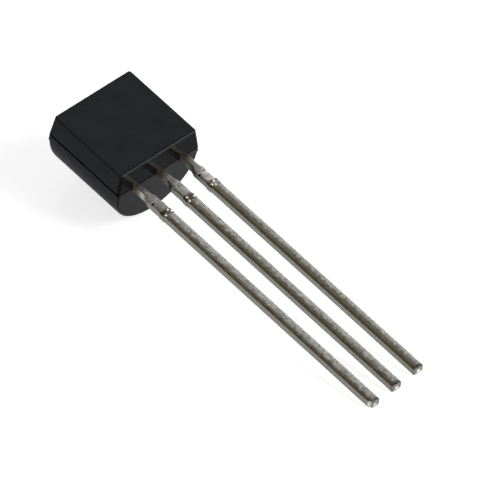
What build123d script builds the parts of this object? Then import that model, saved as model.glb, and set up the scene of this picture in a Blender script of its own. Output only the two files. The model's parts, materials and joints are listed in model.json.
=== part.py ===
from build123d import *
import math
import os

# A small transistor in its moulded case: a flat-fronted, round-backed block on three straight leads.
# All sizes are in millimetres.
# It is built with its flat face on Z = 0 and facing +Z, and with its leads running to -Y from the
# lead end of the body at Y = 0.  At the end it is tilted on to the spots that it rests on.

# Moulded body
body_width = 4.36
body_height = 4.30
back_centre_depth = 1.32
side_set_back = 0.15
end_set_back = 0.10
back_set_back = 0.18
front_corner_radius = 0.15
front_edge_radius = 0.05
back_edge_radius = 0.10
seam_width = 0.08
seam_depth = 0.05
end_seam_depth = 0.02

# Leads outside the body
lead_plane_depth = 1.02
lead_pitch = 1.27
lead_width = 0.50
lead_thickness = 0.40
left_lead_length = 14.40
middle_lead_length = 14.30
right_lead_length = 14.20
lead_edge_radius = 0.08
neck_width = 0.29
neck_length = 0.75
shoulder_length = 0.25
tie_bar_distance = 1.75
tie_bar_width = 0.30
tie_bar_stub = 0.03
tip_clip = 0.08

# Lead frame inside the body
paddle_width = 1.40
paddle_length = 1.70
paddle_end_wall = 1.15
frame_gap = 0.30
post_side_wall = 0.42
post_length = 1.30
post_reach = 0.35

# Chip, solder and bond wires
die_side = 0.45
die_thickness = 0.20
solder_thickness = 0.02
solder_border = 0.03
pad_spacing = 0.22
wire_diameter = 0.04
ball_diameter = 0.10
ball_height = 0.03
loop_height = 0.18
loop_radius = 0.07

body_depth = back_centre_depth + body_width / 2
frame_front = lead_thickness / 2 - lead_plane_depth
paddle_start = paddle_end_wall - body_height
die_y = -(paddle_start + paddle_length / 2)


def side_prism(profile):
    """Extrude a profile drawn in Y and Z well past both sides of the body."""
    return extrude(Plane.YZ * profile, amount=body_width, both=True)


def end_prism(profile):
    """Extrude a profile drawn in X and Z from the lead end of the body to its closed end."""
    return extrude(Plane.XZ * profile, amount=-body_height)


def front_half():
    """The half of the body with the flat face: every wall leans in towards the flat."""
    depth = lead_plane_depth - seam_width / 2
    across = Polygon(
        (-body_width / 2, -depth),
        (body_width / 2, -depth),
        (body_width / 2 - side_set_back, 0),
        (-body_width / 2 + side_set_back, 0),
        align=None,
    )
    along = Polygon(
        (0, -depth),
        (body_height, -depth),
        (body_height - end_set_back, 0),
        (end_set_back, 0),
        align=None,
    )
    half = end_prism(across) & side_prism(along)
    corners = half.edges().filter_by(lambda edge: abs(edge.length - depth) < depth / 4)
    half = fillet(corners, front_corner_radius)
    return fillet(half.faces().sort_by(Axis.Z)[-1].edges(), front_edge_radius)


def back_half():
    """The rounded half of the body: its two ends lean in towards the crest of the back."""
    top = -(lead_plane_depth + seam_width / 2)
    left = (-body_width / 2, top)
    right = (body_width / 2, top)
    arc_left = (-body_width / 2, -back_centre_depth)
    arc_right = (body_width / 2, -back_centre_depth)
    round_back = ThreePointArc(arc_left, (0, -body_depth), arc_right)
    outline = Line(left, arc_left) + round_back + Line(arc_right, right) + Line(right, left)
    along = Polygon(
        (back_set_back, -body_depth),
        (body_height - back_set_back, -body_depth),
        (body_height, top),
        (0, top),
        align=None,
    )
    half = end_prism(make_face(outline)) & side_prism(along)
    rims = half.edges().filter_by(Axis.X, reverse=True).filter_by(Axis.Y, reverse=True)
    return fillet(rims, back_edge_radius)


def seam():
    """The neck between the two halves, which leaves a fine groove along the parting line."""
    centre = Pos(0, body_height / 2, -lead_plane_depth)
    return centre * Box(body_width - 2 * seam_depth, body_height - 2 * end_seam_depth, seam_width)


def frame_plate(left, right, start, end):
    """A rectangle of the lead frame, with start and end measured out from the lead end."""
    centre = Pos((left + right) / 2, -(start + end) / 2, -lead_plane_depth)
    return centre * Box(right - left, end - start, lead_thickness)


def lead_outside(x, length):
    """A lead from its neck at the body to its clipped tip."""
    full_start = neck_length + shoulder_length
    neck = frame_plate(x - neck_width / 2, x + neck_width / 2, 0, neck_length)
    shoulder_outline = Polygon(
        (x - lead_width / 2, -full_start),
        (x + lead_width / 2, -full_start),
        (x + neck_width / 2, -neck_length),
        (x - neck_width / 2, -neck_length),
        align=None,
    )
    shoulder_floor = Pos(0, 0, -lead_plane_depth - lead_thickness / 2)
    shoulder = extrude(shoulder_floor * shoulder_outline, amount=lead_thickness)
    section = Pos(x, -lead_plane_depth) * RectangleRounded(lead_width, lead_thickness, lead_edge_radius)
    shank = Pos(0, -full_start, 0) * extrude(Plane.XZ * section, amount=length - full_start)
    half_stub = lead_width / 2 + tie_bar_stub
    stub = frame_plate(x - half_stub, x + half_stub, tie_bar_distance, tie_bar_distance + tie_bar_width)
    clipped_corner = Polygon(
        (x - lead_width / 2, -length),
        (x - lead_width / 2 + tip_clip, -length),
        (x - lead_width / 2, -length + tip_clip),
        align=None,
    )
    clip = extrude(shoulder_floor * clipped_corner, amount=lead_thickness)
    return neck + shoulder + shank + stub - clip


def collector_lead():
    """The middle lead, which ends inside the body in the paddle that carries the chip."""
    stem = frame_plate(-neck_width / 2, neck_width / 2, paddle_start + paddle_length, 0)
    paddle = frame_plate(-paddle_width / 2, paddle_width / 2, paddle_start, paddle_start + paddle_length)
    return lead_outside(0, middle_lead_length) + stem + paddle


def outer_lead(side, length):
    """A lead on the left (side -1) or the right (side 1), with the post that its wire is bonded to."""
    post_start = -die_y - post_reach
    inner = paddle_width / 2 + frame_gap
    outer = body_width / 2 - post_side_wall
    x = side * lead_pitch
    stem = frame_plate(x - neck_width / 2, x + neck_width / 2, post_start + post_length, 0)
    left, right = sorted((side * inner, side * outer))
    post = frame_plate(left, right, post_start, post_start + post_length)
    return lead_outside(x, length) + stem + post


def layer(side_length, bottom, thickness):
    """A square plate centred over the paddle, standing on the height called bottom."""
    return Pos(0, die_y, bottom + thickness / 2) * Box(side_length, side_length, thickness)


def bond_wire(side):
    """A fine wire that loops from a ball on the chip over to the post on one side."""
    die_top = frame_front + solder_thickness + die_thickness
    post_middle = (paddle_width / 2 + frame_gap + body_width / 2 - post_side_wall) / 2
    x_pad = side * pad_spacing / 2
    x_post = side * post_middle
    crest = die_top + ball_height + loop_height
    path = Plane.XZ * FilletPolyline(
        (x_pad, die_top + ball_height),
        (x_pad, crest),
        (x_post, crest),
        (x_post, frame_front + ball_height),
        radius=loop_radius,
    )
    wire = sweep(Plane(origin=path @ 0, z_dir=path % 0) * Circle(wire_diameter / 2), path=path)
    chip_ball = Pos(x_pad, 0, die_top + ball_height / 2) * Cylinder(ball_diameter / 2, ball_height)
    post_ball = Pos(x_post, 0, frame_front + ball_height / 2) * Cylinder(ball_diameter / 2, ball_height)
    return Pos(0, die_y, 0) * (wire + chip_ball + post_ball)


def rest_tilt():
    """The slope, in degrees, at which the back's lead-end rim and the longest lead touch the table."""
    lean = math.atan2(back_set_back, body_depth - lead_plane_depth - seam_width / 2)
    rim_y = back_set_back + back_edge_radius * math.tan(math.radians(45) - lean / 2)
    rim_depth = body_depth - back_edge_radius
    along = max(left_lead_length, middle_lead_length, right_lead_length) + rim_y
    drop = rim_depth - lead_plane_depth - lead_thickness / 2
    return math.degrees(math.atan2(drop, along) + math.asin(back_edge_radius / math.hypot(along, drop)))


pieces = {
    "emitter_lead": outer_lead(-1, left_lead_length),
    "collector_lead": collector_lead(),
    "base_lead": outer_lead(1, right_lead_length),
    "die_solder": layer(die_side + 2 * solder_border, frame_front, solder_thickness),
    "silicon_die": layer(die_side, frame_front + solder_thickness, die_thickness),
    "emitter_wire": bond_wire(-1),
    "base_wire": bond_wire(1),
}

# The plastic is moulded round the finished frame, so it is cut by every piece that it holds.
moulded_body = front_half() + seam() + back_half()
for held_piece in pieces.values():
    moulded_body -= held_piece
pieces["moulded_body"] = moulded_body

# Laid on its back: the leads slope down until the longest touches the table with the back's rim.
laid = {name: piece.rotate(Axis.X, rest_tilt()) for name, piece in pieces.items()}
box = Compound(children=[piece.solids()[0] for piece in laid.values()]).bounding_box()
to_origin = Pos(-(box.min.X + box.max.X) / 2, -(box.min.Y + box.max.Y) / 2, -box.min.Z)

os.makedirs("parts", exist_ok=True)
for name, piece in laid.items():
    export_step(to_origin * piece, os.path.join("parts", name + ".step"))
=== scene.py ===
import json
import math

import bmesh
import bpy
from mathutils import Matrix, Vector


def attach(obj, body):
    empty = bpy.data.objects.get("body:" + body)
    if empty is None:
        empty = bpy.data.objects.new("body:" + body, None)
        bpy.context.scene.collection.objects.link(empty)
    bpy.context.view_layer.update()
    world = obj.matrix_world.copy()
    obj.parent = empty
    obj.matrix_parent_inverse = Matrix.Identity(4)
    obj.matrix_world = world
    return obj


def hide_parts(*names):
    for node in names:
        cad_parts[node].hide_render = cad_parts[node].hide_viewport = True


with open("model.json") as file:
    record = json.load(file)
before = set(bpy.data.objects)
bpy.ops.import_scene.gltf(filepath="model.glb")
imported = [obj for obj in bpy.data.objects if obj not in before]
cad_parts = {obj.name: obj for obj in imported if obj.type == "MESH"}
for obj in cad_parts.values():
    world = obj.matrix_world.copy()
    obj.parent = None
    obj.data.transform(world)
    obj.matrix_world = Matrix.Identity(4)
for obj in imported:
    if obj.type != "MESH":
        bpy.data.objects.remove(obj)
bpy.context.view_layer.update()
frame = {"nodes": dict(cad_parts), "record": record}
mm = 0.001


# ---- The three leads --------------------------------------------------------------------------------
# Stamped from one strip of copper alloy 0.4 mm thick, then tin plated.  Each has a narrow neck at the
# case, a scar where the strip's tie bar was cropped off, and a sheared tip.  Inside the case the outer
# two end in a bonding post and the middle one in the paddle that carries the chip.
#
# Places along a lead are counted out from the lead end of the case.  The front of a lead slopes down a
# little to the right, by roll_over, as the punch left it.  Its section is squarer at a high squareness.
lead_pitch = 1.27 * mm
lead_width = 0.50 * mm
lead_thickness = 0.40 * mm
left_length = 14.40 * mm
middle_length = 14.30 * mm
right_length = 14.20 * mm
neck_width = 0.29 * mm
neck_length = 0.75 * mm
shoulder_end = 1.00 * mm
plateau_start = 1.10 * mm
groove_middle = 1.18 * mm
groove_spread = 0.03 * mm
groove_depth = 0.02 * mm
plateau_end = 1.65 * mm
scar_start = 1.75 * mm
scar_middle = 1.90 * mm
pit_spread = 0.10 * mm
pit_depth = 0.03 * mm
stub_width = 0.30 * mm
stub_reach = 0.03 * mm
bead_radius = 0.075 * mm
bead_height = 0.165 * mm
bead_flatness = 0.6
tip_bevel = 0.03 * mm
tip_inset = 0.6 * tip_bevel
clip_slope = 1.3
roll_over = 0.08
neck_squareness = 9
shank_squareness = 7
smooth_angle = math.radians(35)

# The object lies on its back with its leads sloping down.  Every piece is shaped level, with the flat
# face on Z = 0 and the lead end of the case at Y = 0, and then laid in its mesh by this one matrix.
mounts = {mount["name"]: mount for mount in frame["record"]["mounts"]}
flat_normal = Vector(mounts["flat_face"]["axis"])
slope = math.atan2(-flat_normal.y, flat_normal.z)
turn = Matrix.Rotation(slope, 4, "X")
flat_middle = Vector(mounts["flat_face"]["pos_m"])
tip_to_flat = turn.transposed() @ (flat_middle - Vector(mounts["lead_row"]["pos_m"]))
lead_plane = -tip_to_flat.z
case_height = 2 * (tip_to_flat.y - middle_length)
laid = Matrix.Translation(flat_middle) @ turn @ Matrix.Translation((0, -case_height / 2, 0))


def finished(mesh, name, materials, slot, *nodes):
    """Lays a level bmesh on the table and makes it the piece that stands for the named CAD nodes."""
    mesh.transform(laid)
    bmesh.ops.recalc_face_normals(mesh, faces=mesh.faces)
    data = bpy.data.meshes.new(name)
    mesh.to_mesh(data)
    mesh.free()
    for material in materials:
        data.materials.append(material)
    data.shade_smooth()
    data.set_sharp_from_angle(angle=smooth_angle)
    piece = bpy.data.objects.new(name, data)
    bpy.context.scene.collection.objects.link(piece)
    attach(piece, "root")
    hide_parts(*nodes)
    return piece


def linear(code):
    """An sRGB hex colour as the linear colour that a shader takes."""
    channels = [int(code[i:i + 2], 16) / 255 for i in (1, 3, 5)]
    return [c / 12.92 if c <= 0.04045 else ((c + 0.055) / 1.055) ** 2.4 for c in channels] + [1.0]


def add(tree, kind, sockets, output=0, **settings):
    """Adds a node with its settings, gives each named socket a value or a link, returns an output."""
    made = tree.nodes.new(kind)
    for name, value in settings.items():
        setattr(made, name, value)
    for name, value in sockets.items():
        socket = next(each for each in made.inputs if each.enabled and name in (each.name, each.identifier))
        if isinstance(value, bpy.types.NodeSocket):
            tree.links.new(value, socket)
        else:
            socket.default_value = value
    return [each for each in made.outputs if each.enabled][output]


def new_material(name):
    """A material, its tree, its Principled shader, and Object coordinates turned level with the case."""
    material = bpy.data.materials.new(name)
    material.use_nodes = True
    tree = material.node_tree
    level = laid.inverted()
    turned = add(tree, "ShaderNodeMapping", {
        "Vector": add(tree, "ShaderNodeTexCoord", {}, output=3),
        "Rotation": level.to_euler(),
        "Location": level.translation,
    })
    return material, tree, tree.nodes["Principled BSDF"], turned


# Matt tin plate on copper alloy: neutral grey, softly mottled, drawn into faint streaks along the lead.
# A darker olive band lies along the left of each front face, widest on the right lead: partly tarnish, and
# partly painted shade for the dark that the face reflects there.  The plate is thin on the sheared sides,
# which are also painted darker as shade; it is faintly pink at the neck, and missing from the middle of the
# scar.
tin, tree, shader, level = new_material("tinned copper alloy, stamped")
tin_grey = linear("#cbc9c2")
tin_pale = linear("#f0eee8")
speckle_olive = linear("#7a7562")
streak_olive = linear("#7f7a68")
thin_plate_and_shade_grey = linear("#6f6c66")
tarnish_and_shade_olive = linear("#757054")
tarnish_and_shade_brown = linear("#75664f")
end_grey = linear("#55524a")
end_bright = linear("#fff8ee")
neck_pink = linear("#9c8278")
scar_brown = linear("#4f4034")
nick_shadow_black = linear("#14110d")
streak_width = 0.06 * mm
streak_length = 1.6 * mm
mottle_size = 0.22 * mm
speckle_size = 0.08 * mm
blotch_size = 0.7 * mm
tin_relief = 0.006 * mm
side_from = 0.20 * mm
side_full = 0.245 * mm
front_from = lead_plane + 0.11 * mm
front_full = lead_plane + 0.165 * mm
# The distance across starts again at each lead, so that it is counted from that lead's middle.
axes = add(tree, "ShaderNodeSeparateXYZ", {"Vector": level}).node.outputs
across = add(tree, "ShaderNodeMath", {
    "Value": axes["X"], "Value_001": -lead_pitch / 2, "Value_002": lead_pitch / 2,
}, operation="WRAP")
off_middle = add(tree, "ShaderNodeMath", {"Value": across}, operation="ABSOLUTE")
drawn = add(tree, "ShaderNodeMapping", {
    "Vector": level,
    "Scale": (1 / streak_width, 1 / streak_length, 1 / streak_width),
})
streaks = add(tree, "ShaderNodeTexNoise", {"Vector": drawn, "Scale": 1.0, "Detail": 3.0})
mottle = add(tree, "ShaderNodeTexNoise", {"Vector": level, "Scale": 1 / mottle_size, "Detail": 4.0})
# The plate's colour is laid on in turn: the mottle, the speckle, the streaks, and the dull sides.
plate = add(tree, "ShaderNodeMix", {
    "Factor": add(tree, "ShaderNodeMapRange", {"Value": mottle, "From Min": 0.35, "From Max": 0.65}),
    "A": tin_grey,
    "B": tin_pale,
}, data_type="RGBA")
speckle = add(tree, "ShaderNodeTexNoise", {"Vector": level, "Scale": 1 / speckle_size, "Detail": 2.0})
plate = add(tree, "ShaderNodeMix", {
    "Factor": add(tree, "ShaderNodeMapRange", {
        "Value": speckle, "From Min": 0.45, "From Max": 0.70, "To Max": 0.7,
    }),
    "A": plate,
    "B": speckle_olive,
}, data_type="RGBA")
plate = add(tree, "ShaderNodeMix", {
    "Factor": add(tree, "ShaderNodeMapRange", {
        "Value": streaks, "From Min": 0.52, "From Max": 0.75, "To Max": 0.35,
    }),
    "A": plate,
    "B": streak_olive,
}, data_type="RGBA")
# The sides are darker, partly for their thin plate and partly as painted shade for the shadowed floor they
# reflect.
plate = add(tree, "ShaderNodeMix", {
    "Factor": add(tree, "ShaderNodeMapRange", {
        "Value": off_middle, "From Min": side_from, "From Max": side_full, "To Max": 0.9,
    }),
    "A": plate,
    "B": thin_plate_and_shade_grey,
}, data_type="RGBA")
# The band's edge wanders with the mottle.  The band grows wider from the left lead to the right one, and
# fades on the case's side of the scar.
band_wander = 0.22 * mm
band_widening = 0.025
band_full = 0.03 * mm
band_end = 0.18 * mm
fade_from = 2.1 * mm
fade_full = 1.6 * mm
wander = add(tree, "ShaderNodeMath", {
    "Value": mottle, "Value_001": band_wander, "Value_002": across,
}, operation="MULTIPLY_ADD")
band_edge = add(tree, "ShaderNodeMath", {
    "Value": axes["X"], "Value_001": -band_widening, "Value_002": wander,
}, operation="MULTIPLY_ADD")
band = add(tree, "ShaderNodeMapRange", {
    "Value": band_edge,
    "From Min": band_full,
    "From Max": band_end,
    "To Min": 0.85,
    "To Max": 0.0,
}, interpolation_type="SMOOTHSTEP")
front_only = add(tree, "ShaderNodeMapRange", {
    "Value": axes["Z"], "From Min": front_from, "From Max": front_full,
})
past_scar = add(tree, "ShaderNodeMapRange", {
    "Value": axes["Y"],
    "From Min": -fade_from,
    "From Max": -fade_full,
    "To Min": 1.0,
    "To Max": 0.35,
})
band = add(tree, "ShaderNodeMath", {"Value": band, "Value_001": front_only}, operation="MULTIPLY")
band = add(tree, "ShaderNodeMath", {"Value": band, "Value_001": past_scar}, operation="MULTIPLY")
blotches = add(tree, "ShaderNodeTexNoise", {"Vector": level, "Scale": 1 / blotch_size, "Detail": 3.0})
# The band's colour is partly tarnish and partly painted shade, standing in for a dark reflection.
tarnish_and_shade = add(tree, "ShaderNodeMix", {
    "Factor": add(tree, "ShaderNodeMapRange", {"Value": blotches, "From Min": 0.45, "From Max": 0.60}),
    "A": tarnish_and_shade_olive,
    "B": tarnish_and_shade_brown,
}, data_type="RGBA")
plate = add(tree, "ShaderNodeMix", {
    "Factor": band,
    "A": plate,
    "B": tarnish_and_shade,
}, data_type="RGBA")
# The tin is darker over a short way from the tips.  They stand in a slanting row, so the distance from
# them is measured along that slant.
tip_row_slant = (right_length - left_length) / (2 * lead_pitch)
dark_full = 0.03 * mm
dark_end = 0.22 * mm
to_tips = add(tree, "ShaderNodeMath", {
    "Value": axes["X"], "Value_001": tip_row_slant, "Value_002": axes["Y"],
}, operation="MULTIPLY_ADD")
cut_end = add(tree, "ShaderNodeMapRange", {
    "Value": to_tips,
    "From Min": dark_full - middle_length,
    "From Max": dark_end - middle_length,
    "To Min": 0.85,
    "To Max": 0.0,
})
plate = add(tree, "ShaderNodeMix", {
    "Factor": cut_end,
    "A": plate,
    "B": end_grey,
}, data_type="RGBA")
# Each sheared end is bright metal in a soft-edged spot below its middle, clearest on the right lead.
spot_drop = 0.05 * mm
spot_wander = 0.12 * mm
spot_full = 0.08 * mm
spot_end = 0.20 * mm
end_from = 0.005 * mm
end_to = 0.02 * mm
from_spot = add(tree, "ShaderNodeVectorMath", {
    "Vector": add(tree, "ShaderNodeCombineXYZ", {"X": across, "Z": axes["Z"]}),
    "Vector_001": (0.0, 0.0, lead_plane - spot_drop),
}, operation="DISTANCE")
from_spot = add(tree, "ShaderNodeMath", {
    "Value": speckle, "Value_001": spot_wander, "Value_002": from_spot,
}, operation="MULTIPLY_ADD")
spot = add(tree, "ShaderNodeMapRange", {
    "Value": from_spot, "From Min": spot_full, "From Max": spot_end, "To Min": 1.0, "To Max": 0.0,
}, interpolation_type="SMOOTHSTEP")
on_end = add(tree, "ShaderNodeMapRange", {
    "Value": to_tips,
    "From Min": end_from - middle_length,
    "From Max": end_to - middle_length,
    "To Min": 1.0,
    "To Max": 0.0,
})
clearest_right = add(tree, "ShaderNodeMapRange", {
    "Value": axes["X"], "From Min": -lead_pitch, "From Max": lead_pitch, "To Min": 0.6, "To Max": 1.0,
})
spot = add(tree, "ShaderNodeMath", {"Value": spot, "Value_001": on_end}, operation="MULTIPLY")
spot = add(tree, "ShaderNodeMath", {"Value": spot, "Value_001": clearest_right}, operation="MULTIPLY")
plate = add(tree, "ShaderNodeMix", {
    "Factor": spot,
    "A": plate,
    "B": end_bright,
}, data_type="RGBA")
# Copper shows pink through the tin of the neck, most of all beside the case.
pink_full = 0.1 * mm
neck_tint = add(tree, "ShaderNodeMapRange", {
    "Value": axes["Y"],
    "From Min": -neck_length,
    "From Max": -pink_full,
    "To Max": 0.6,
}, interpolation_type="SMOOTHSTEP")
plate = add(tree, "ShaderNodeMix", {
    "Factor": neck_tint,
    "A": plate,
    "B": neck_pink,
}, data_type="RGBA")
# The bare copper of the scar has a ragged outline, and shows less on the right lead.
scar_raggedness = 0.4 * mm
scar_fade = 0.10 * mm
right_lead_from = 0.5 * lead_pitch
right_lead_full = 0.6 * lead_pitch
from_scar = add(tree, "ShaderNodeMath", {
    "Value": add(tree, "ShaderNodeMath", {"Value": axes["Y"], "Value_001": scar_middle}, operation="ADD"),
}, operation="ABSOLUTE")
ragged = add(tree, "ShaderNodeMath", {
    "Value": mottle, "Value_001": -scar_raggedness, "Value_002": from_scar,
}, operation="MULTIPLY_ADD")
scar_tint = add(tree, "ShaderNodeMapRange", {
    "Value": ragged,
    "From Min": -scar_fade,
    "From Max": 0.0,
    "To Min": 1.0,
    "To Max": 0.0,
})
scar_tint = add(tree, "ShaderNodeMath", {"Value": scar_tint, "Value_001": front_only}, operation="MULTIPLY")
fainter_right = add(tree, "ShaderNodeMapRange", {
    "Value": axes["X"],
    "From Min": right_lead_from,
    "From Max": right_lead_full,
    "To Min": 1.0,
    "To Max": 0.6,
})
scar_tint = add(tree, "ShaderNodeMath", {
    "Value": scar_tint, "Value_001": fainter_right,
}, operation="MULTIPLY")
plate = add(tree, "ShaderNodeMix", {
    "Factor": scar_tint,
    "A": plate,
    "B": scar_brown,
}, data_type="RGBA")
# A black mark on the left edge of the two outer leads' plateaus: painted shade, for the shadow in a nick
# there.
nick_out = 1.26 * mm
nick_half = 0.03 * mm
nick_fade = 0.06 * mm
nick_left = -0.16 * mm
nick_right = -0.11 * mm
from_nick = add(tree, "ShaderNodeMath", {
    "Value": add(tree, "ShaderNodeMath", {"Value": axes["Y"], "Value_001": nick_out}, operation="ADD"),
}, operation="ABSOLUTE")
nick_shadow = add(tree, "ShaderNodeMapRange", {
    "Value": from_nick, "From Min": nick_half, "From Max": nick_fade, "To Min": 1.0, "To Max": 0.0,
})
nick_across = add(tree, "ShaderNodeMapRange", {
    "Value": across, "From Min": nick_left, "From Max": nick_right, "To Min": 1.0, "To Max": 0.0,
})
outer_leads = add(tree, "ShaderNodeMath", {
    "Value": add(tree, "ShaderNodeMath", {"Value": axes["X"]}, operation="ABSOLUTE"),
    "Value_001": lead_pitch / 2,
}, operation="GREATER_THAN")
nick_shadow = add(tree, "ShaderNodeMath", {"Value": nick_shadow, "Value_001": nick_across}, operation="MULTIPLY")
nick_shadow = add(tree, "ShaderNodeMath", {"Value": nick_shadow, "Value_001": outer_leads}, operation="MULTIPLY")
nick_shadow = add(tree, "ShaderNodeMath", {"Value": nick_shadow, "Value_001": front_only}, operation="MULTIPLY")
plate = add(tree, "ShaderNodeMix", {
    "Factor": nick_shadow,
    "A": plate,
    "B": nick_shadow_black,
}, data_type="RGBA")
tree.links.new(plate, shader.inputs["Base Color"])
shader.inputs["Metallic"].default_value = 1.0
# The mottle and the streaks also make the tin's gloss and its relief uneven.
tin_roughness = add(tree, "ShaderNodeMapRange", {
    "Value": mottle, "From Min": 0.3, "From Max": 0.7, "To Min": 0.30, "To Max": 0.44,
})
tree.links.new(tin_roughness, shader.inputs["Roughness"])
streak_share = 0.4
tin_height = add(tree, "ShaderNodeMath", {
    "Value": streaks, "Value_001": streak_share, "Value_002": mottle,
}, operation="MULTIPLY_ADD")
tin_bump = add(tree, "ShaderNodeBump", {"Height": tin_height, "Distance": tin_relief, "Strength": 1.0})
tree.links.new(tin_bump, shader.inputs["Normal"])

# Fresh metal that the cropping blade smeared into beads round each scar.
bright, tree, shader, level = new_material("tin and copper, freshly sheared")
fresh_warm = linear("#efe3d6")
fresh_pale = linear("#fffdf8")
shear_line = 0.03 * mm
shear_relief = 0.002 * mm
shear = add(tree, "ShaderNodeTexNoise", {"Vector": level, "Scale": 1 / shear_line, "Detail": 2.0})
fresh = add(tree, "ShaderNodeMix", {
    "Factor": shear,
    "A": fresh_warm,
    "B": fresh_pale,
}, data_type="RGBA")
tree.links.new(fresh, shader.inputs["Base Color"])
shader.inputs["Metallic"].default_value = 1.0
fresh_roughness = add(tree, "ShaderNodeMapRange", {"Value": shear, "To Min": 0.22, "To Max": 0.36})
tree.links.new(fresh_roughness, shader.inputs["Roughness"])
fresh_bump = add(tree, "ShaderNodeBump", {"Height": shear, "Distance": shear_relief, "Strength": 1.0})
tree.links.new(fresh_bump, shader.inputs["Normal"])


def steps(start, end, count):
    """Evenly spaced values from start to end, both included."""
    return [start + (end - start) * i / count for i in range(count + 1)]


def blend(value, start, end):
    """Runs from 0 to 1 as the value goes from start to end."""
    return min(max((value - start) / (end - start), 0), 1)


# The lead is cut across at stations, which stand close together where its shape changes, and along its
# length where rays from the middle of its section, up to 40 degrees off straight, meet the sides.  The
# part that is deeper in the case than sunk_in_case keeps its plain section.
first_station = 0.10 * mm
shoulder_station = 0.80 * mm
groove_start = 1.06 * mm
groove_end = 1.30 * mm
plateau_middle = 1.45 * mm
scar_end = 2.20 * mm
shank_start = 2.50 * mm
last_stretch = 0.20 * mm
widest_ray = 40
sunk_in_case = 0.01 * mm
near_middle = 0.001

# A face looks along an axis when its normal lies that way by more than this share.
facing = 0.9


def lead(name, node, x, length, clip, lean, beads, plate_out, plate_across):
    """One lead.

    Its tip is clipped on the left, and its plateau leans to the right by a slope.  Its beads are places,
    across and out from the middle of the scar in mm.  Its inner plate is a start and an end, each way.
    """
    inner_start, inner_end = plate_out
    mesh = bmesh.new()
    bmesh.ops.create_cube(mesh, size=1)
    bmesh.ops.scale(mesh, vec=(neck_width, length - inner_start, lead_thickness), verts=mesh.verts)
    bmesh.ops.translate(mesh, vec=(x, -(length + inner_start) / 2, lead_plane), verts=mesh.verts)
    stations = [inner_end, 0]
    stations += steps(first_station, neck_length, count=4)
    stations += steps(shoulder_station, shoulder_end, count=5)
    stations += steps(groove_start, groove_end, count=8) + [plateau_middle]
    stations += steps(plateau_end, scar_end, count=19)
    stations += steps(shank_start, length - last_stretch, count=30) + [length - tip_bevel]
    cuts = [((0, -out, 0), (0, 1, 0)) for out in stations]
    for ray in steps(-widest_ray, widest_ray, count=10):
        part = math.tan(math.radians(ray)) / 2
        cuts += [((x + neck_width * part, 0, 0), (1, 0, 0))]
        cuts += [((0, 0, lead_plane + lead_thickness * part), (0, 0, 1))]
    for point, normal in cuts:
        everything = mesh.verts[:] + mesh.edges[:] + mesh.faces[:]
        bmesh.ops.bisect_plane(mesh, geom=everything, plane_co=point, plane_no=normal)
    for vert in mesh.verts:
        out = -vert.co.y
        across = (vert.co.x - x) / (neck_width / 2)
        through = (vert.co.z - lead_plane) / (lead_thickness / 2)
        reach = max(abs(across), abs(through))
        if out < -sunk_in_case or reach < near_middle:
            continue
        grown = blend(out, neck_length, shoulder_end)
        at_tip = blend(out, length - tip_bevel, length)
        squareness = neck_squareness + (shank_squareness - neck_squareness) * grown
        pull = (abs(across / reach) ** squareness + abs(through / reach) ** squareness) ** (-1 / squareness)
        half = (neck_width + (lead_width - neck_width) * grown) / 2
        half += stub_reach * (abs(out - scar_middle) < stub_width / 2)
        half -= tip_inset * at_tip
        half_through = lead_thickness / 2 - tip_inset * at_tip
        vert.co.x = x + half * across * pull
        vert.co.z = lead_plane + half_through * through * pull
        if through > 0:
            on_plateau = blend(out, shoulder_end, plateau_start) * (1 - blend(out, plateau_end, scar_start))
            fall = roll_over * grown + (lean - roll_over) * on_plateau
            vert.co.z -= fall * (across * pull + 1) * half * through
            pit = math.exp(-((out - scar_middle) / pit_spread) ** 2)
            groove = math.exp(-((out - groove_middle) / groove_spread) ** 2)
            vert.co.z -= (pit_depth * pit + groove_depth * groove) * through
    corner = Vector((x - lead_width / 2, -length + clip_slope * clip, 0))
    everything = mesh.verts[:] + mesh.edges[:] + mesh.faces[:]
    bmesh.ops.bisect_plane(
        mesh, geom=everything, plane_co=corner, plane_no=(-clip_slope, -1, 0),
        clear_outer=True, clear_inner=False,
    )
    bmesh.ops.holes_fill(mesh, edges=[edge for edge in mesh.edges if edge.is_boundary])
    mesh.normal_update()
    for side, edge_x in zip((-1, 1), plate_across):
        wall = [
            face for face in mesh.faces
            if face.normal.x * side > facing and inner_start < -face.calc_center_median().y < inner_end
        ]
        pushed = bmesh.ops.extrude_face_region(mesh, geom=wall)["geom"]
        bmesh.ops.delete(mesh, geom=wall, context="FACES")
        for vert in [item for item in pushed if isinstance(item, bmesh.types.BMVert)]:
            vert.co.x = edge_x
    for bead_across, bead_out in beads:
        middle = (x + bead_across * mm, -scar_middle - bead_out * mm, lead_plane + bead_height)
        place = Matrix.Translation(middle)
        flattened = Matrix.Diagonal((1.0, 1.0, bead_flatness, 1.0))
        bead = bmesh.ops.create_uvsphere(
            mesh, u_segments=20, v_segments=12, radius=bead_radius, matrix=place @ flattened,
        )["verts"]
        for face in {face for vert in bead for face in vert.link_faces}:
            face.material_index = 1
    return finished(mesh, name, [tin, bright], "tinned_lead", node)


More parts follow.
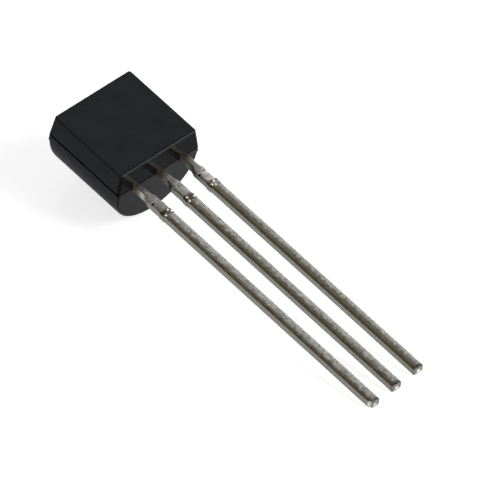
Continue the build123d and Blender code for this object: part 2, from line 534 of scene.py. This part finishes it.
# The paddle and the posts lie well inside the case, counted here from its closed end.  The posts stand
# 0.3 mm clear of the paddle.
paddle_start = 1.15 * mm
paddle_end = 2.85 * mm
paddle_half = 0.70 * mm
paddle_out = (paddle_start - case_height, paddle_end - case_height)
post_start = 1.65 * mm
post_end = 2.95 * mm
post_inner = 1.00 * mm
post_outer = 1.76 * mm
post_out = (post_start - case_height, post_end - case_height)
large_clip = 0.16 * mm
small_clip = 0.05 * mm
lead(
    "lead_left",
    "emitter_lead",
    x=-lead_pitch,
    length=left_length,
    clip=large_clip,
    lean=0.03,
    beads=[(0.10, -0.10), (0.19, 0.03), (-0.16, 0.10)],
    plate_out=post_out,
    plate_across=(-post_outer, -post_inner),
)
lead(
    "lead_middle",
    "collector_lead",
    x=0.0,
    length=middle_length,
    clip=small_clip,
    lean=0.10,
    beads=[(0.16, 0.02), (-0.12, -0.09), (-0.17, 0.11)],
    plate_out=paddle_out,
    plate_across=(-paddle_half, paddle_half),
)
lead(
    "lead_right",
    "base_lead",
    x=lead_pitch,
    length=right_length,
    clip=small_clip,
    lean=0.22,
    beads=[(0.04, -0.09), (-0.03, 0.11), (-0.14, 0.02)],
    plate_out=post_out,
    plate_across=(post_inner, post_outer),
)


# ---- What the case hides ----------------------------------------------------------------------------
# The chip is soldered to the paddle, and two gold wires run from it to the posts.  These are the packed
# model's own pieces, which the case covers all round, so each needs only its own finish.
#
# Sawn silicon is dark and glassy, solder is pale and satin where it melted, and drawn gold is bright.  A
# finish is its name, dark and light colour, grain size, metallic share, roughness and nodes.
hidden_finishes = [
    ("silicon, sawn and polished", "#2c3038", "#454b57", 0.05 * mm, 0.3, 0.20, ["silicon_die"]),
    ("tin-lead solder, reflowed", "#8e8e90", "#b4b4b6", 0.04 * mm, 1.0, 0.35, ["die_solder"]),
    ("gold wire, drawn", "#c89a3c", "#e2b95c", 0.02 * mm, 1.0, 0.20, ["emitter_wire", "base_wire"]),
]
for name, dark, light, grain_size, metallic, roughness, nodes in hidden_finishes:
    finish, tree, shader, level = new_material(name)
    grain = add(tree, "ShaderNodeTexNoise", {"Vector": level, "Scale": 1 / grain_size, "Detail": 3.0})
    colour = add(tree, "ShaderNodeMix", {
        "Factor": grain,
        "A": linear(dark),
        "B": linear(light),
    }, data_type="RGBA")
    tree.links.new(colour, shader.inputs["Base Color"])
    shader.inputs["Metallic"].default_value = metallic
    shader.inputs["Roughness"].default_value = roughness
    grain_relief = grain_size / 20
    relief = add(tree, "ShaderNodeBump", {"Height": grain, "Distance": grain_relief})
    tree.links.new(relief, shader.inputs["Normal"])
    for node in nodes:
        slots = frame["nodes"][node].data.materials
        slots.clear()
        slots.append(finish)


# ---- The moulded case -------------------------------------------------------------------------------
# Black epoxy, moulded in one shot round the finished lead frame.  The walls of both mould halves lean
# in from the parting line, where the halves leave a fine groove.
case_width = 4.36 * mm
back_centre = -1.32 * mm
side_set_back = 0.15 * mm
end_set_back = 0.10 * mm
back_set_back = 0.18 * mm
corner_radius = 0.11 * mm
front_edge_radius = 0.05 * mm
back_edge_radius = 0.10 * mm
seam_width = 0.08 * mm
seam_depth = 0.05 * mm
end_seam_depth = 0.02 * mm
round_segments = 5
brim_segments = 3
back_segments = 64
back_radius = case_width / 2

# Epoxy filled with silica powder, matt from the mould: almost black, with a fine grain, faint clouds where
# it flowed, and hardly any gloss.  The lead end is smoother, and painted darker, partly for that and partly
# as shade; the brim over it is painted paler as a highlight.
epoxy, tree, shader, level = new_material("black epoxy, moulded matt")
epoxy_dark = linear("#252628")
epoxy_light = linear("#303134")
smooth_and_shade_black = linear("#0b0c0d")
brim_highlight_grey = linear("#3d3f42")
groove_black = linear("#070707")
epoxy_gloss = 0.04
grain_size = 0.05 * mm
grain_relief = 0.003 * mm
flow_size = 0.9 * mm
grain = add(tree, "ShaderNodeTexNoise", {"Vector": level, "Scale": 1 / grain_size, "Detail": 3.0})
flow = add(tree, "ShaderNodeTexNoise", {"Vector": level, "Scale": 1 / flow_size, "Detail": 4.0})
mixed = add(tree, "ShaderNodeMix", {"Factor": 0.45, "A": grain, "B": flow})
epoxy_colour = add(tree, "ShaderNodeMix", {
    "Factor": add(tree, "ShaderNodeMapRange", {"Value": mixed, "From Min": 0.35, "From Max": 0.65}),
    "A": epoxy_dark,
    "B": epoxy_light,
}, data_type="RGBA")
axes = add(tree, "ShaderNodeSeparateXYZ", {"Vector": level}).node.outputs
# Painted shade: a dark line runs round the flat just under its rounded brim.  The lead end is dark all over,
# partly because its smoother moulding looks blacker and partly as painted shade.
line_start = -0.10 * mm
line_full = -0.06 * mm
line_fading = -0.05 * mm
line_end = -0.01 * mm
smooth_full = 0.10 * mm
smooth_fade = 0.25 * mm
smooth_shaded_end = add(tree, "ShaderNodeMapRange", {
    "Value": axes["Y"], "From Min": smooth_full, "From Max": smooth_fade, "To Min": 1.0, "To Max": 0.0,
})
brim_shade_line = add(tree, "ShaderNodeMapRange", {
    "Value": axes["Z"], "From Min": line_fading, "From Max": line_end, "To Min": 1.0, "To Max": 0.0,
})
above_wall = add(tree, "ShaderNodeMapRange", {
    "Value": axes["Z"], "From Min": line_start, "From Max": line_full,
})
brim_shade_line = add(tree, "ShaderNodeMath", {"Value": brim_shade_line, "Value_001": above_wall}, operation="MULTIPLY")
epoxy_colour = add(tree, "ShaderNodeMix", {
    "Factor": brim_shade_line,
    "A": epoxy_colour,
    "B": smooth_and_shade_black,
}, data_type="RGBA")
epoxy_colour = add(tree, "ShaderNodeMix", {
    "Factor": smooth_shaded_end,
    "A": epoxy_colour,
    "B": smooth_and_shade_black,
}, data_type="RGBA")
# Painted highlight: the part of the brim that stands over the lead end is paler, for light caught by its
# rounded edge.
highlight_start = -0.07 * mm
highlight_full = -0.03 * mm
highlight_fading = 0.13 * mm
highlight_end = 0.17 * mm
near_brim = add(tree, "ShaderNodeMapRange", {
    "Value": axes["Z"], "From Min": highlight_start, "From Max": highlight_full,
})
at_end = add(tree, "ShaderNodeMapRange", {
    "Value": axes["Y"], "From Min": highlight_fading, "From Max": highlight_end, "To Min": 1.0, "To Max": 0.0,
})
brim_highlight = add(tree, "ShaderNodeMath", {"Value": near_brim, "Value_001": at_end}, operation="MULTIPLY")
epoxy_colour = add(tree, "ShaderNodeMix", {
    "Factor": brim_highlight,
    "A": epoxy_colour,
    "B": brim_highlight_grey,
}, data_type="RGBA")
# Little light reaches the bottom of the seam's groove, but on the lead end the groove is shallow.
groove_half = 0.045 * mm
groove_fade = 0.065 * mm
wall_start = 0.02 * mm
wall_full = 0.08 * mm
above_seam = add(tree, "ShaderNodeMath", {"Value": axes["Z"], "Value_001": lead_plane}, operation="SUBTRACT")
from_seam = add(tree, "ShaderNodeMath", {"Value": above_seam}, operation="ABSOLUTE")
inside_end = add(tree, "ShaderNodeMapRange", {
    "Value": axes["Y"], "From Min": wall_start, "From Max": wall_full,
})
shaded = add(tree, "ShaderNodeMapRange", {
    "Value": from_seam, "From Min": groove_half, "From Max": groove_fade, "To Min": 1.0, "To Max": 0.0,
})
shaded = add(tree, "ShaderNodeMath", {"Value": shaded, "Value_001": inside_end}, operation="MULTIPLY")
epoxy_colour = add(tree, "ShaderNodeMix", {
    "Factor": shaded,
    "A": epoxy_colour,
    "B": groove_black,
}, data_type="RGBA")
tree.links.new(epoxy_colour, shader.inputs["Base Color"])
shader.inputs["Specular IOR Level"].default_value = epoxy_gloss
end_gloss = add(tree, "ShaderNodeMapRange", {"Value": smooth_shaded_end, "To Min": 0.50, "To Max": 0.15})
end_gloss = add(tree, "ShaderNodeMath", {"Value": end_gloss, "Value_001": shaded}, operation="MAXIMUM")
tree.links.new(end_gloss, shader.inputs["Roughness"])
epoxy_bump = add(tree, "ShaderNodeBump", {"Height": grain, "Distance": grain_relief, "Strength": 0.5})
tree.links.new(epoxy_bump, shader.inputs["Normal"])


# Points this close are taken to be in one plane.
hair = 0.001 * mm


def boundary(mesh, z):
    """The open edges of a shell that lie in the plane at height z."""
    return [
        edge for edge in mesh.edges
        if edge.is_boundary and all(abs(vert.co.z - z) < hair for vert in edge.verts)
    ]


def open_seam(mesh, z):
    """Turns the flat face at height z into a rim round an opening, and narrows the rim at both ends."""
    parting = [face for face in mesh.faces if all(abs(vert.co.z - z) < hair for vert in face.verts)]
    bmesh.ops.inset_region(mesh, faces=parting, thickness=seam_depth, use_even_offset=True)
    bmesh.ops.delete(mesh, geom=parting, context="FACES_ONLY")
    beside_end = case_height / 2 - 1.5 * seam_depth
    for vert in {vert for edge in boundary(mesh, z) for vert in edge.verts}:
        if abs(vert.co.y - case_height / 2) > beside_end:
            vert.co.y += math.copysign(seam_depth - end_seam_depth, vert.co.y - case_height / 2)


def soften(mesh, edges, radius, segments):
    """Rounds edges to a radius."""
    bmesh.ops.bevel(
        mesh, geom=edges, offset=radius, offset_type="OFFSET", affect="EDGES",
        segments=segments, profile=0.5, material=-1,
    )


# The front half is a block whose four walls lean in towards the flat face.
seam_top = lead_plane + seam_width / 2
seam_bottom = lead_plane - seam_width / 2
case = bmesh.new()
bmesh.ops.create_cube(case, size=1)
bmesh.ops.scale(case, vec=(case_width, case_height, -seam_top), verts=case.verts)
bmesh.ops.translate(case, vec=(0, case_height / 2, seam_top / 2), verts=case.verts)
for vert in case.verts:
    if vert.co.z > seam_top / 2:
        vert.co.x -= math.copysign(side_set_back, vert.co.x)
        vert.co.y -= math.copysign(end_set_back, vert.co.y - case_height / 2)
leaning = [edge for edge in case.edges if abs(edge.verts[0].co.z - edge.verts[1].co.z) > -seam_top / 2]
soften(case, leaning, corner_radius, round_segments)
brim = [edge for edge in case.edges if all(vert.co.z > -hair for vert in edge.verts)]
soften(case, brim, front_edge_radius, brim_segments)
open_seam(case, seam_top)

# The back half is a half-round section run the length of the case, with its ends leaning in.
back = bmesh.new()
first = back.verts.new((-back_radius, 0, back_centre))
spun = bmesh.ops.spin(
    back, geom=[first], cent=(0, 0, back_centre), axis=(0, -1, 0), dvec=(0, 0, 0),
    angle=math.pi, steps=back_segments,
)
last = spun["geom_last"][0]
for end in (first, last):
    raised = bmesh.ops.extrude_vert_indiv(back, verts=[end])["verts"][0]
    raised.co.z = seam_bottom
section = bmesh.ops.contextual_create(back, geom=back.edges[:])["faces"]
extruded = bmesh.ops.extrude_face_region(back, geom=section)["geom"]
for vert in [item for item in extruded if isinstance(item, bmesh.types.BMVert)]:
    vert.co.y = case_height
lean_back = back_set_back / (seam_bottom - back_centre + back_radius)
for vert in back.verts:
    vert.co.y -= math.copysign(lean_back * (seam_bottom - vert.co.z), vert.co.y - case_height / 2)
ends = [face for face in back.faces if abs(face.normal.y) > facing]
below_seam = seam_bottom - 10 * hair
rims = [edge for face in ends for edge in face.edges if min(vert.co.z for vert in edge.verts) < below_seam]
soften(back, rims, back_edge_radius, round_segments)
open_seam(back, seam_bottom)

# The neck of the seam joins the two halves into one shell.
joined = bpy.data.meshes.new("back_half")
back.to_mesh(joined)
back.free()
case.from_mesh(joined)
bpy.data.meshes.remove(joined)
openings = boundary(case, seam_top) + boundary(case, seam_bottom)
bmesh.ops.bridge_loops(case, edges=openings)
case_piece = finished(case, "case", [epoxy], "case_plastic", "moulded_body")
evened = case_piece.modifiers.new("evened", "WEIGHTED_NORMAL")
evened.keep_sharp = True


# ---- Floor, light and camera ------------------------------------------------------------------------
# A white sheet under soft studio light: a softbox in front on the right, a broad fill on the left, a
# pale reflector low behind on the right, and a dark ceiling.
floor_half = 900 * mm
sheet = bmesh.new()
bmesh.ops.create_grid(sheet, x_segments=1, y_segments=1, size=floor_half)
floor_mesh = bpy.data.meshes.new("floor")
sheet.to_mesh(floor_mesh)
sheet.free()
floor = bpy.data.objects.new("floor", floor_mesh)
bpy.context.scene.collection.objects.link(floor)
# The sheet is lifted to white for the camera and in reflections only, and so lights nothing by it.
paper_white = linear("#ececec")
paper_lift = 0.70
paper = bpy.data.materials.new("white paper sheet")
paper.use_nodes = True
tree = paper.node_tree
shader = tree.nodes["Principled BSDF"]
shader.inputs["Base Color"].default_value = paper_white
shader.inputs["Roughness"].default_value = 0.9
shader.inputs["Emission Color"].default_value = (1, 1, 1, 1)
rays = add(tree, "ShaderNodeLightPath", {}).node.outputs
seen = rays["Is Camera Ray"]
for ray in ("Is Glossy Ray", "Is Transmission Ray"):
    seen = add(tree, "ShaderNodeMath", {"Value": seen, "Value_001": rays[ray]}, operation="MAXIMUM")
lift = add(tree, "ShaderNodeMath", {"Value": seen, "Value_001": paper_lift}, operation="MULTIPLY")
tree.links.new(lift, shader.inputs["Emission Strength"])
floor_mesh.materials.append(paper)

world = bpy.data.worlds.new("studio")
bpy.context.scene.world = world
world.use_nodes = True
tree = world.node_tree
heading = add(tree, "ShaderNodeTexCoord", {})
rise = add(tree, "ShaderNodeSeparateXYZ", {"Vector": heading}).node.outputs["Z"]
horizon_light = 0.55
ceiling_light = 0.14
ceiling_edge = math.sin(math.radians(30))
sky = add(tree, "ShaderNodeMapRange", {
    "Value": rise,
    "From Min": 0.0,
    "From Max": ceiling_edge,
    "To Min": horizon_light,
    "To Max": ceiling_light,
})
tree.links.new(sky, tree.nodes["Background"].inputs["Strength"])
tree.nodes["Background"].inputs["Color"].default_value = (1, 1, 1, 1)


lamp_distance = 250 * mm


def softbox(name, azimuth, elevation, size, radiance):
    """A square lamp that faces the object; azimuth 0 is in front of the lead tips."""
    lamp = bpy.data.lights.new(name, "AREA")
    lamp.size = size
    lamp.energy = radiance * math.pi * size ** 2
    box = bpy.data.objects.new(name, lamp)
    bpy.context.scene.collection.objects.link(box)
    box.location = lamp_distance * Vector((
        math.cos(elevation) * math.sin(azimuth),
        -math.cos(elevation) * math.cos(azimuth),
        math.sin(elevation),
    ))
    box.rotation_euler = (-box.location).to_track_quat("-Z", "Y").to_euler()


softbox("key", azimuth=math.radians(32), elevation=math.radians(34), size=130 * mm, radiance=9.0)
softbox("fill", azimuth=math.radians(-78), elevation=math.radians(48), size=160 * mm, radiance=0.7)
softbox("reflector", azimuth=math.radians(126), elevation=math.radians(24), size=240 * mm, radiance=0.55)

camera_azimuth = math.radians(-40.6)
camera_elevation = math.radians(43.3)
camera_roll = math.radians(2.1)
camera_distance = 400 * mm
camera_aim = Vector((0.08, -0.47, 1.67)) * mm
focal_length = 717.0
film_width = 36.0
nearest = 10 * mm
farthest = 3000 * mm
lens = bpy.data.cameras.new("camera")
lens.lens = focal_length
lens.sensor_width = film_width
lens.clip_start = nearest
lens.clip_end = farthest
camera = bpy.data.objects.new("camera", lens)
bpy.context.scene.collection.objects.link(camera)
towards = Vector((
    math.cos(camera_elevation) * math.sin(camera_azimuth),
    -math.cos(camera_elevation) * math.cos(camera_azimuth),
    math.sin(camera_elevation),
))
camera.location = camera_aim + camera_distance * towards
upright = (-towards).to_track_quat("-Z", "Y").to_matrix().to_4x4()
camera.rotation_euler = (upright @ Matrix.Rotation(-camera_roll, 4, "Z")).to_euler()
bpy.context.scene.camera = camera
bpy.context.scene.view_settings.view_transform = "Standard"
